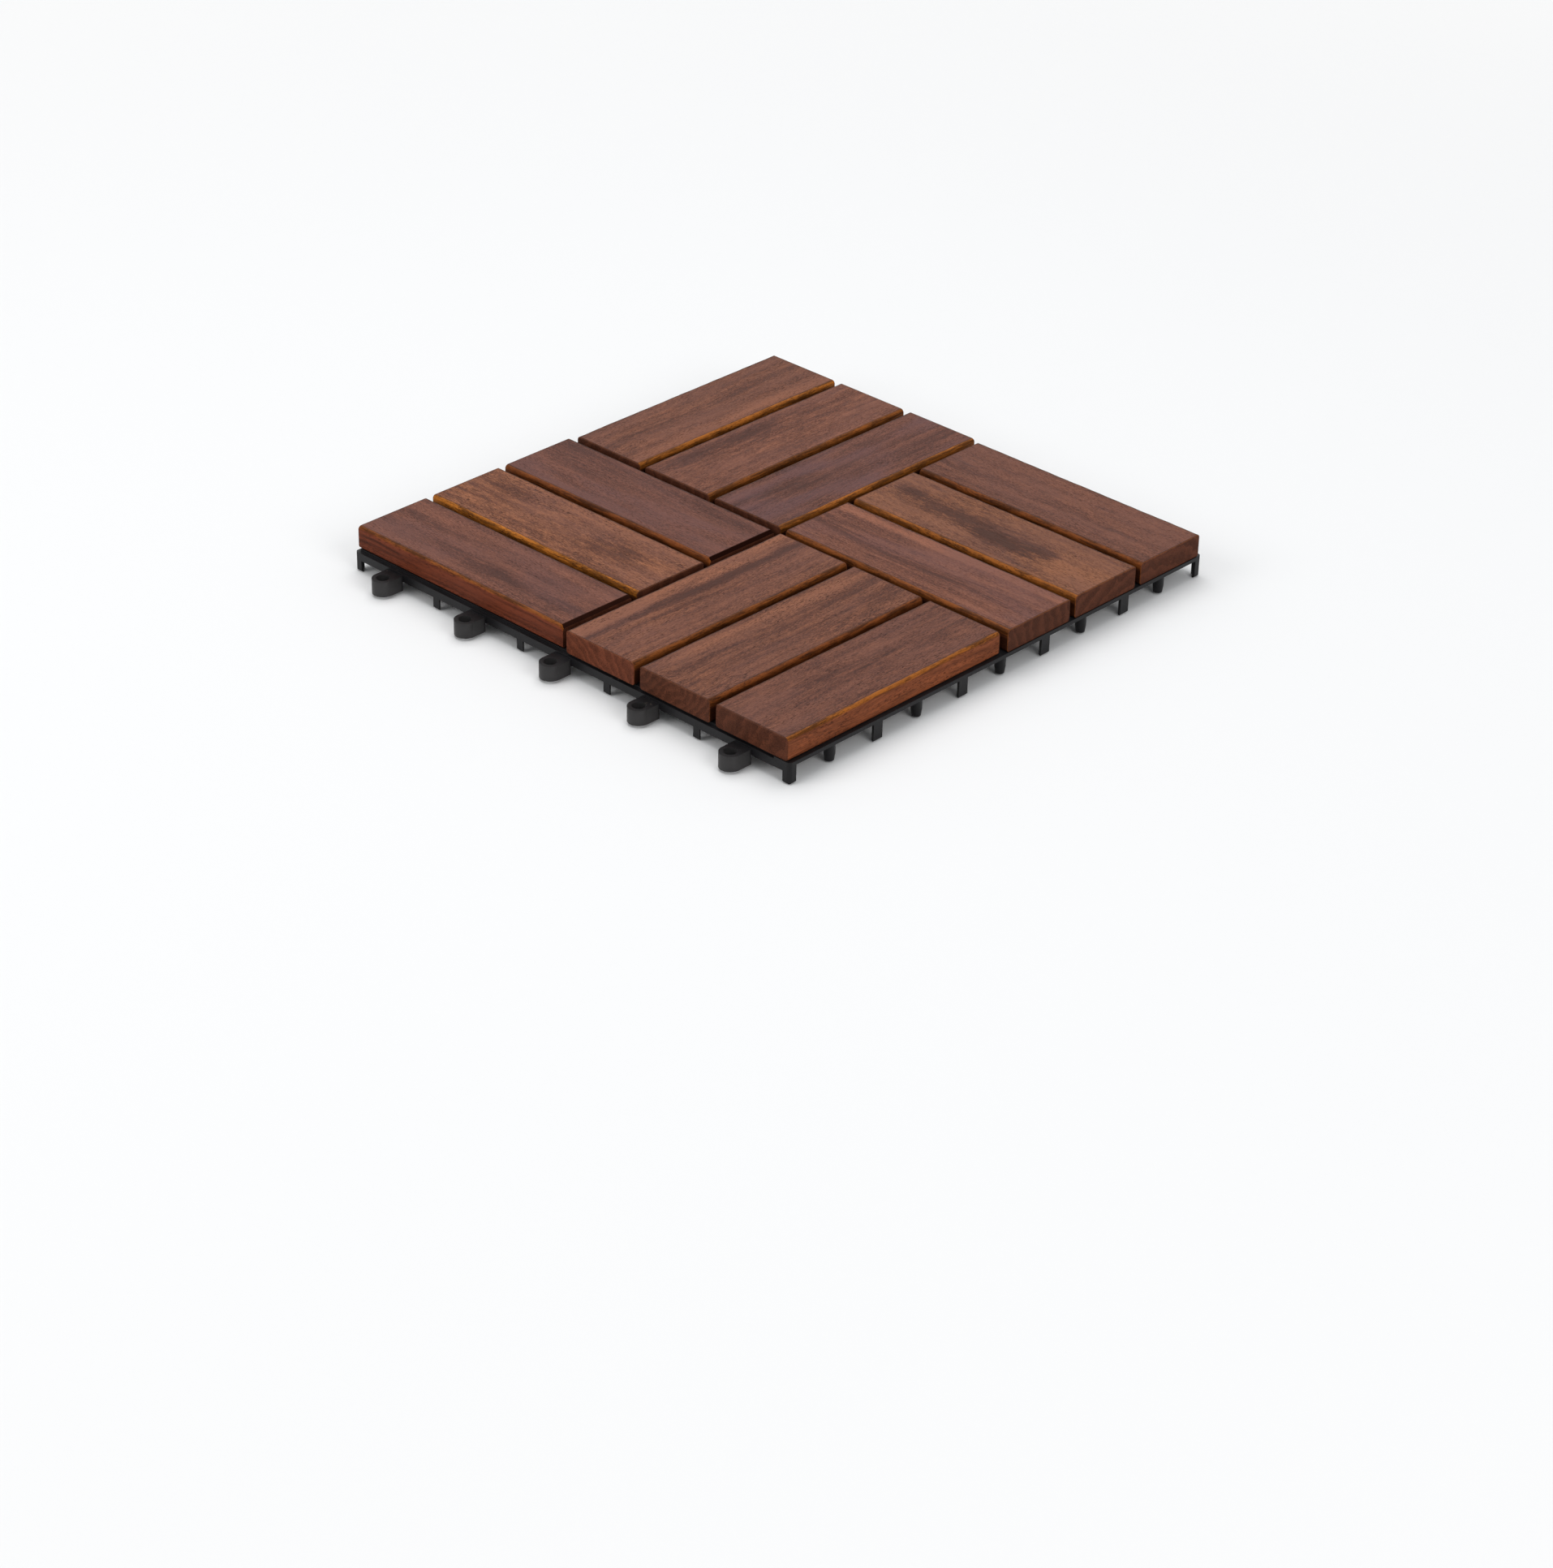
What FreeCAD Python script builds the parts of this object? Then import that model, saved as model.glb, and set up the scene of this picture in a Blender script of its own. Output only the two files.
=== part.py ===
import FreeCAD, Part
import math
import os

# Interlocking deck tile: one moulded base that carries twelve hardwood slats, screwed on from below.
# Millimetres. The origin is the middle of the square base, on the plane of its feet, and Z is up.
# The loops are on the sides that face -X and -Y, and the pegs on the sides that face +X and +Y.

Vector = FreeCAD.Vector

# Base outline and sections
RIM_SIDE = 295.0  # outer side of the square base, without the loops
RIM_CORNER_RADIUS = 2.0  # upright corners of the rim
BASE_HEIGHT = 11.5  # from the floor to the face that carries the slats
BAND_THICKNESS = 2.0  # flat band round the edge, and all that is over a neighbour's loops
RIB_DEPTH = 4.1  # from the top face down to the underside of a rib
RIB_THICKNESS = 2.0
WALL_THICKNESS = 2.6  # outer wall on the two loop sides, as deep as a rib
WALL_DROP = 1.2  # the rim is this much lower than the undersides of the slats along that wall
FEET_PER_SIDE = 6  # feet along one side, counting both corners

# Feet, whose radius is taken to the corners of their sides
PEG_SIDE_FOOT_RADIUS = 3.0
LOOP_SIDE_FOOT_RADIUS = 2.1
INNER_FOOT_RADIUS = 3.2
CORNER_FOOT_LENGTH = 4.5  # each leg of the angle at a corner
CORNER_FOOT_THICKNESS = 1.6
FOOT_BEVEL = 1.0  # along the outside of the rim's feet, at the floor

# Pegs, which hang from the band on the +X and +Y sides
PEG_DIAMETER = 5.5
PEG_INSET = 3.0  # from the rim's face to the peg's axis
PEG_FLOOR_CLEARANCE = 1.0
PEG_NOSE_LENGTH = 3.5  # tapered part
PEG_TIP_DIAMETER = 4.5

# Loops, which stand out on the -X and -Y sides and take a neighbour's pegs
JOINT_GAP = 5.0  # between the rims of two tiles when they are joined
HOLE_CLEARANCE = 0.6  # all round a peg in its loop
LOOP_WALL = 2.15  # round the hole
LOOP_TOP_CLEARANCE = 0.2  # under a neighbour's band
LOOP_FLOOR_CLEARANCE = 1.4
LOOP_END_CLEARANCE = 1.5  # from a loop's end to the ribs of the tile that it reaches under

# Slats
SLATS_PER_GROUP = 3
SLAT_THICKNESS = 12.0
SLAT_GAP = 3.8
SLAT_SIDE_INSET = 2.0  # from the rim's face to an outer slat's long side
SLAT_END_INSET = 0.5  # from the rim's face to a slat's end
SLAT_EDGE_RADIUS = 2.5  # long edges

# Screws, two to a slat
SCREW_SHANK_DIAMETER = 3.5
SCREW_COVER = 3.1  # wood left above a screw's point
SCREW_HEAD_DIAMETER = 7.0
SCREW_HEAD_HEIGHT = 2.2
SCREW_HOLE_CLEARANCE = 0.2  # round the shank in the base
SCREW_HEAD_SPACE = 0.5  # at least this much between a screw's head and a foot
SCREW_BOSS_WALL = 2.6  # round the hole in the base
HIDDEN_SIDES = 6  # small round parts under the tile have this many flat sides

# What follows from these
HALF = RIM_SIDE / 2
FOOT_PITCH = RIM_SIDE / (FEET_PER_SIDE - 1)
CELL = FOOT_PITCH / 2  # ribs run under each foot and halfway between feet
CELLS_PER_SIDE = 2 * (FEET_PER_SIDE - 1)
RIB_FLOOR = BASE_HEIGHT - RIB_DEPTH
BAND_FLOOR = BASE_HEIGHT - BAND_THICKNESS
WALL_TOP = BASE_HEIGHT - WALL_DROP
WALL_FLOOR = RIB_FLOOR - WALL_DROP
HOLE_RADIUS = PEG_DIAMETER / 2 + HOLE_CLEARANCE
LOOP_RADIUS = HOLE_RADIUS + LOOP_WALL
LOOP_OUTSET = JOINT_GAP + PEG_INSET
LOOP_TOP = BAND_FLOOR - LOOP_TOP_CLEARANCE
BAND_WIDTH = PEG_INSET + LOOP_RADIUS + LOOP_END_CLEARANCE
RIB_LIMIT = HALF - BAND_WIDTH  # ribs end here on the peg sides
LINK_PLACES = [(i - (FEET_PER_SIDE - 2) / 2) * FOOT_PITCH for i in range(FEET_PER_SIDE - 1)]
FOOT_PLACES = [(i - (FEET_PER_SIDE - 1) / 2) * FOOT_PITCH for i in range(1, FEET_PER_SIDE - 1)]
SLAT_LENGTH = HALF - SLAT_END_INSET - SLAT_GAP / 2
GROUP_WIDTH = HALF - SLAT_SIDE_INSET - SLAT_GAP / 2
SLAT_WIDTH = (GROUP_WIDTH - (SLATS_PER_GROUP - 1) * SLAT_GAP) / SLATS_PER_GROUP
SCREW_LINES = (CELL - HALF, -CELL)  # ribs that cross a slat near its two ends
SCREW_HOLE_RADIUS = SCREW_SHANK_DIAMETER / 2 + SCREW_HOLE_CLEARANCE
BOSS_RADIUS = SCREW_HOLE_RADIUS + SCREW_BOSS_WALL

GROUP_NAMES = ("left", "front", "right", "back")  # each is the one before it, turned by a quarter


def quarter_turned(shape, turns):
    """A copy turned about the middle of the tile by so many quarter turns."""
    copy = shape.copy()
    copy.rotate(Vector(0, 0, 0), Vector(0, 0, 1), 90 * turns)
    return copy


def rectangle(x0, x1, y0, y1, z):
    """A level rectangle, as a wire."""
    corners = [(x0, y0), (x1, y0), (x1, y1), (x0, y1), (x0, y0)]
    return Part.makePolygon([Vector(x, y, z) for x, y in corners])


def upright(wires, height):
    """The prism over an outline, the first wire, less the holes, the others."""
    return Part.makeFace(wires, "Part::FaceMakerCheese").extrude(Vector(0, 0, height))


def ring_of_sides(radius, z):
    """The outline of a small round part that is drawn with flat sides."""
    steps = [2 * math.pi * (i + 0.5) / HIDDEN_SIDES for i in range(HIDDEN_SIDES)]
    points = [Vector(radius * math.cos(a), radius * math.sin(a), z) for a in steps]
    return Part.makePolygon(points + points[:1])


def sided_post(radius, z0, z1):
    """A small round part that is drawn with flat sides, from z0 up to z1."""
    return upright([ring_of_sides(radius, z0)], z1 - z0)


def turned(profile):
    """The solid that a list of (radius, height) points sweeps about the Z axis."""
    points = [Vector(r, 0, z) for r, z in profile]
    outline = Part.makePolygon(points + [points[0]])
    return Part.Face(outline).revolve(Vector(0, 0, 0), Vector(0, 0, 1), 360)


def at(shape, x, y):
    """A copy moved from the origin to x and y."""
    copy = shape.copy()
    copy.translate(Vector(x, y, 0))
    return copy


def rim_envelope():
    """The rim's outline over the whole height, bevelled at the floor, which trims the feet flush."""
    block = Part.makeBox(RIM_SIDE, RIM_SIDE, BASE_HEIGHT, Vector(-HALF, -HALF, 0))
    upright_edges = [e for e in block.Edges if e.BoundBox.ZLength > BASE_HEIGHT / 2]
    floor_edges = [e for e in block.Edges if e.BoundBox.ZMax < BASE_HEIGHT / 2]
    rounded = block.makeFillet(RIM_CORNER_RADIUS, upright_edges)
    return rounded.common(block.makeChamfer(FOOT_BEVEL, floor_edges))


def cell_spans(low, high):
    """Where the windows between the ribs start and end along one axis of the grid from low to high."""
    spans = []
    for i in range(CELLS_PER_SIDE):
        start = -HALF + i * CELL + RIB_THICKNESS / 2
        end = start + CELL - RIB_THICKNESS
        spans.append((max(start, low + WALL_THICKNESS), min(end, high - RIB_THICKNESS)))
    return spans


def rib_grid():
    """The ribs with their outer wall on the loop sides, in one layer with a window in every cell."""
    spans = cell_spans(-HALF, RIB_LIMIT)
    windows = [rectangle(x0, x1, y0, y1, RIB_FLOOR) for x0, x1 in spans for y0, y1 in spans]
    return upright([rectangle(-HALF, RIB_LIMIT, -HALF, RIB_LIMIT, RIB_FLOOR)] + windows, RIB_DEPTH)


def edge_band():
    """The flat band all round the edge."""
    outside = rectangle(-HALF, HALF, -HALF, HALF, BAND_FLOOR)
    inside = rectangle(-RIB_LIMIT, RIB_LIMIT, -RIB_LIMIT, RIB_LIMIT, BAND_FLOOR)
    return upright([outside, inside], BAND_THICKNESS)


def edge_feet():
    """Feet along the four sides. The rim's envelope cuts them in half, flush with its face."""
    peg_side = sided_post(PEG_SIDE_FOOT_RADIUS, 0, BAND_FLOOR)
    loop_side = sided_post(LOOP_SIDE_FOOT_RADIUS, 0, BAND_FLOOR)
    feet = []
    for place in FOOT_PLACES:
        right = at(peg_side, HALF, place)
        left = at(loop_side, -HALF, place)
        feet += [right, quarter_turned(right, 1), left, quarter_turned(left, 1)]
    return feet


def angle(thickness, end, z0, z1):
    """Two legs along the rim from its corner at -X and -Y as far as end, from z0 up to z1."""
    inner = thickness - HALF
    corners = [(-HALF, -HALF), (end, -HALF), (end, inner), (inner, inner), (inner, end), (-HALF, end)]
    outline = Part.makePolygon([Vector(x, y, z0) for x, y in corners + corners[:1]])
    return upright([outline], z1 - z0)


def corner_foot():
    """The foot in the corner at -X and -Y."""
    return angle(CORNER_FOOT_THICKNESS, CORNER_FOOT_LENGTH - HALF, 0, BAND_FLOOR)


def loop_side_wall():
    """The outer wall of the two loop sides over its whole height."""
    return angle(WALL_THICKNESS, RIB_LIMIT, WALL_FLOOR, WALL_TOP)


def loop_side_ledge():
    """What is taken off the top of the rim along that wall, beside the slats."""
    return angle(SLAT_SIDE_INSET, RIB_LIMIT, WALL_TOP, BASE_HEIGHT)


def inner_feet():
    """Feet at every other crossing of the ribs, but not where a screw's head is in the way."""
    inner = sided_post(INNER_FOOT_RADIUS, 0, RIB_FLOOR)
    reach = INNER_FOOT_RADIUS + SCREW_HEAD_DIAMETER / 2 + SCREW_HEAD_SPACE
    screws = [(x, y) for _, x, y in screw_places()]
    places = [(x, y) for x in LINK_PLACES for y in LINK_PLACES]
    feet = []
    for x, y in places:
        same_by_turning = [(x, y), (-y, x), (-x, -y), (y, -x)]
        gaps = [math.dist(place, screw) for place in same_by_turning for screw in screws]
        if min(gaps) > reach:
            feet.append(at(inner, x, y))
    return feet


def peg():
    """A peg under the band: a straight part that centres it, then a tapered nose."""
    radius = PEG_DIAMETER / 2
    tip = PEG_TIP_DIAMETER / 2
    shoulder = PEG_FLOOR_CLEARANCE + PEG_NOSE_LENGTH
    profile = [
        (0, PEG_FLOOR_CLEARANCE),
        (tip, PEG_FLOOR_CLEARANCE),
        (radius, shoulder),
        (radius, BASE_HEIGHT),
        (0, BASE_HEIGHT),
    ]
    return turned(profile)


def loop():
    """The middle loop of the -Y side: an eye on a straight neck that is rooted in the wall."""
    centre = -HALF - LOOP_OUTSET
    left = Vector(-LOOP_RADIUS, centre, LOOP_FLOOR_CLEARANCE)
    right = Vector(LOOP_RADIUS, centre, LOOP_FLOOR_CLEARANCE)
    end = Vector(0, centre - LOOP_RADIUS, LOOP_FLOOR_CLEARANCE)
    rim_left = Vector(-LOOP_RADIUS, -HALF, LOOP_FLOOR_CLEARANCE)
    rim_right = Vector(LOOP_RADIUS, -HALF, LOOP_FLOOR_CLEARANCE)
    edges = [
        Part.Arc(left, end, right).toShape(),
        Part.LineSegment(right, rim_right).toShape(),
        Part.LineSegment(rim_right, rim_left).toShape(),
        Part.LineSegment(rim_left, left).toShape(),
    ]
    eye = upright([Part.Wire(edges)], LOOP_TOP - LOOP_FLOOR_CLEARANCE)
    inside = rectangle(-LOOP_RADIUS, LOOP_RADIUS, centre, WALL_THICKNESS / 2 - HALF, WALL_FLOOR)
    root = upright([inside], LOOP_TOP - WALL_FLOOR)
    hole = Part.makeCylinder(HOLE_RADIUS, BASE_HEIGHT, Vector(0, centre, 0))
    return eye.fuse(root).cut(hole)


def loops():
    """The same row of loops on the -Y side and, turned by a quarter backwards, on the -X side."""
    one = loop()
    row = [at(one, place, 0) for place in LINK_PLACES]
    return row + [quarter_turned(shape, -1) for shape in row]


def pegs():
    """The row of pegs on the +X side and the like row on the +Y side."""
    one = peg()
    along_x = [at(one, HALF - PEG_INSET, place) for place in LINK_PLACES]
    return along_x + [at(one, place, HALF - PEG_INSET) for place in LINK_PLACES]


def slat_side(index):
    """The lower long side of a slat of the left group, counted from the outside."""
    return -HALF + SLAT_SIDE_INSET + index * (SLAT_WIDTH + SLAT_GAP)


def screw_places():
    """Both screws of each slat: first the slat's index, then x and y, in the left group."""
    places = []
    for index in range(SLATS_PER_GROUP):
        middle = slat_side(index) + SLAT_WIDTH / 2
        places += [(index, x, middle) for x in SCREW_LINES]
    return places


def at_all_screws(shape):
    """Copies of a shape at the screws of all four groups."""
    group = [at(shape, x, y) for _, x, y in screw_places()]
    return [quarter_turned(one, turns) for turns in range(len(GROUP_NAMES)) for one in group]


def screw():
    """A screw with a flat cheese head, driven up through its boss into the slat."""
    head = sided_post(SCREW_HEAD_DIAMETER / 2, RIB_FLOOR - SCREW_HEAD_HEIGHT, RIB_FLOOR)
    return head.fuse(screw_shank())


def screw_shank():
    """The screw above its head, which is also the hole that it has cut in the slat."""
    tip = BASE_HEIGHT + SLAT_THICKNESS - SCREW_COVER
    return sided_post(SCREW_SHANK_DIAMETER / 2, RIB_FLOOR, tip)


def base_grid():
    """The whole moulding."""
    boss = sided_post(BOSS_RADIUS, RIB_FLOOR, BASE_HEIGHT)
    hole = sided_post(SCREW_HOLE_RADIUS, RIB_FLOOR, BASE_HEIGHT)
    within = [rib_grid(), loop_side_wall()] + edge_feet() + inner_feet() + at_all_screws(boss)
    within += [quarter_turned(corner_foot(), turns) for turns in range(4)]
    grid = edge_band().fuse(within).common(rim_envelope()).cut(loop_side_ledge())
    whole = grid.fuse(loops() + pegs()).cut(at_all_screws(hole))
    return whole.removeSplitter()


def slat(index):
    """A slat of the left group: its long edges rounded, and the holes that its two screws have cut."""
    corner = Vector(SLAT_END_INSET - HALF, slat_side(index), BASE_HEIGHT)
    blank = Part.makeBox(SLAT_LENGTH, SLAT_WIDTH, SLAT_THICKNESS, corner)
    long_edges = [e for e in blank.Edges if abs(e.tangentAt(e.FirstParameter).x) > 0.5]
    holes = [at(screw_shank(), x, y) for owner, x, y in screw_places() if owner == index]
    return blank.makeFillet(SLAT_EDGE_RADIUS, long_edges).cut(holes)


def slats():
    """All slats by name, in each group counted from the outside."""
    named = {}
    for index in range(SLATS_PER_GROUP):
        one = slat(index)
        for turns, group in enumerate(GROUP_NAMES):
            named[f"slat_{group}_{index + 1}"] = quarter_turned(one, turns)
    return named


def main():
    os.makedirs("parts", exist_ok=True)
    parts = {"base_grid": base_grid(), **slats()}
    parts["slat_screws"] = Part.makeCompound(at_all_screws(screw()))
    for name, shape in parts.items():
        print(name, shape.isValid(), len(shape.Solids), round(shape.Volume / 1000, 2), "cm3")
        shape.exportStep(f"parts/{name}.step")


main()
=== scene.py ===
import math
from dataclasses import dataclass, field

import bpy
import numpy as np
from bpy.props import FloatProperty, FloatVectorProperty, IntProperty, PointerProperty
from mathutils import Matrix, Vector


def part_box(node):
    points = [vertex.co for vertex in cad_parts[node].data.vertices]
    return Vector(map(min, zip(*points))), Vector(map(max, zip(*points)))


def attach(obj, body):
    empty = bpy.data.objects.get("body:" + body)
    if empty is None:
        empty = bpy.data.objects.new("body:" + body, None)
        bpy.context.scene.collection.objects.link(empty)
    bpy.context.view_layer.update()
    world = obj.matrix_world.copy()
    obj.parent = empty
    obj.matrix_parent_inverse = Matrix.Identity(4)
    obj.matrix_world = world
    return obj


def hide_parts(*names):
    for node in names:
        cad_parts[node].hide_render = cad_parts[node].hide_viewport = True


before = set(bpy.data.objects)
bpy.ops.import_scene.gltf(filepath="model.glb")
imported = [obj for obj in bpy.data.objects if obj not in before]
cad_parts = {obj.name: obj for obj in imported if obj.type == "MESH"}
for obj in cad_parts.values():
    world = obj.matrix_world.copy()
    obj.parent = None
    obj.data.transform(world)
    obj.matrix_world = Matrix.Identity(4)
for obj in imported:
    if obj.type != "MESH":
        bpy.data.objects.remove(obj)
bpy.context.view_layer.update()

bl_info = {
    "name": "Interlocking Deck Tile",
    "version": (1, 0, 0),
    "blender": (4, 5, 0),
    "location": "3D View > Sidebar > Deck Tile",
    "description": "Dresses a hardwood deck tile and sets a studio round it",
    "category": "Object",
}

BODY = "root"
MM = 0.001
BASE_NODE = "base_grid"
SCREW_NODE = "slat_screws"
GROUP_TURNS = {"left": 0, "front": 1, "right": 2, "back": 3}  # quarter turns of each group

# Mesh attribute of a slat: how far a point is past the top face's edge, over a side and over an
# end, and 1 at the inner end
REACH = "reach"
DEEP = 9.0  # the reach, in mm, of places well away from the top face
SEED_STEP = (391.0, 57.0, 73.0)  # how far apart two slats lie in the textures, in mm
MIX_FACTOR, MIX_FIRST, MIX_SECOND, MIX_RESULT = 0, 6, 7, 2  # the colour sockets of a Mix node

# Rows of points on a slat. Lengths are millimetres
EDGE_STEP = 0.35  # from the edge of the top face to its next row
EDGE_MARGIN = 1.0  # from that edge to the evenly spaced rows
TOP_ROWS, FLANK_ROWS, UNDER_ROWS = 8, 4, 5
EDGE_ARC_STEPS, UNDER_ARC_STEPS, END_ARC_STEPS = 9, 5, 6
LENGTH_ROWS = 58
END_MARGIN = 1.5  # from the easing of an end to the evenly spaced rows
BEFORE_ROUND, BEFORE_BEVEL = 0.35, 0.3  # the row before an end's easing
ROUND_TOP, ROUND_SIDE = 0.8, 0.5  # what a rounded end loses above and at a side, as shares
BEVEL_SLOPE = 0.6  # drop of a planed end for each millimetre of length
BEVEL_SHARES = (0.0, 0.06, 0.35, 0.65, 0.95, 1.0)
CROWN, HOLLOW = 0.05, 0.04  # mean drop of the top and draw of the sides
CAP_INSET = [0.0, 0.02, 0.08]  # how far a sawn face's outline is drawn in

# One screw. Shares are of the head's radius, and half slots are millimetres
HEAD_FLAT = 0.62  # the share of the head that is flat below
HEAD_SOFT = 0.7  # rounding of its rim in mm
POINT_LENGTH = 3.0
POINT_WIDTH = 0.25  # as a share of the shank's
CROSS_MOUTH = (0.55, 0.42)  # reach and half slot
CROSS_FLOOR = (0.32, 0.22)
SAME_LEVEL = 0.01  # millimetres
HEAD_ROOM = 8.0  # millimetres, more than a head is wide
SCREW_SEED = 7
SCREW_SHARP_ANGLE = 35

WELD_GAP = 0.00001
SOFT_EDGE_ANGLE = 50  # edges sharper than this, in degrees, are softened on the base

# The photograph's camera: place in metres, angles in degrees, focal length in picture points
CAMERA_PLACE = (1.2439, -1.3276, 0.9442)
CAMERA_ANGLES = (43.10, 30.35, 1.29)  # azimuth, elevation and roll
FOCAL_POINTS = 5107.0
PICTURE_POINTS = 1932.0  # the longer side of the picture
SENSOR_WIDTH = 36.0

LAMPS = (  # name, place and side in metres, and the setting that holds its power
    ("overhead_lamp", (-0.5, 0.4, 2.4), 2.2, "overhead_power"),
    ("left_lamp", (-0.9, -2.2, 1.5), 1.4, "side_power"),
    ("right_lamp", (2.4, -0.4, 1.5), 1.4, "side_power"),
)


@dataclass
class Streak:
    """A band of other colour that runs along a slat. Places are mm from the slat's middle."""

    across: float
    half_width: float
    strength: float  # above 0 is darker and below 0 is lighter
    slope: float = 0.0
    start: float = -200.0
    end: float = 200.0


@dataclass
class Stain:
    """A soft patch of other colour with its middle, half length and half width in millimetres."""

    along: float
    across: float
    half_length: float
    half_width: float
    strength: float


@dataclass
class TimberLook:
    """How one slat's wood differs from the next."""

    tone: float = 1.0
    tan: float = 0.3  # 0 is purple brown and 1 is tan
    violet: float = 0.0  # how blue its clouds are
    # The painted highlight on the rounded long edges: its strength and how far down it reaches
    edge_highlight: float = 0.3  # how bright the rounded long edges are
    highlight_width: float = 4.5  # millimetres down from the top face
    gap_shade: float = 0.88  # how dark the sides are deep in a gap
    side_tone: float = 1.0
    side_red: float = 0.0  # how much redder the sides are
    side_layers: float = 1.0  # how much the sides are streaked
    end_tone: float = 1.0
    end_red: float = 0.3
    end_edge_lightening: float = 0.3  # how far the edge of an outer end turns a lighter brown
    pith: tuple = (10.0, -60.0)  # where the growth rings have their middle, across and up
    ring_spacing: float = 6.0
    rings: float = 0.25
    flecks: float = 0.5
    mottle: float = 0.3
    inner_ease: float = 0.9
    inner_bevelled: bool = False  # planed off flat instead of rounded
    inner_shade_strength: float = 0.35  # how dark the painted shade on the inner end is
    streaks: list = field(default_factory=list)
    stains: list = field(default_factory=list)


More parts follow.
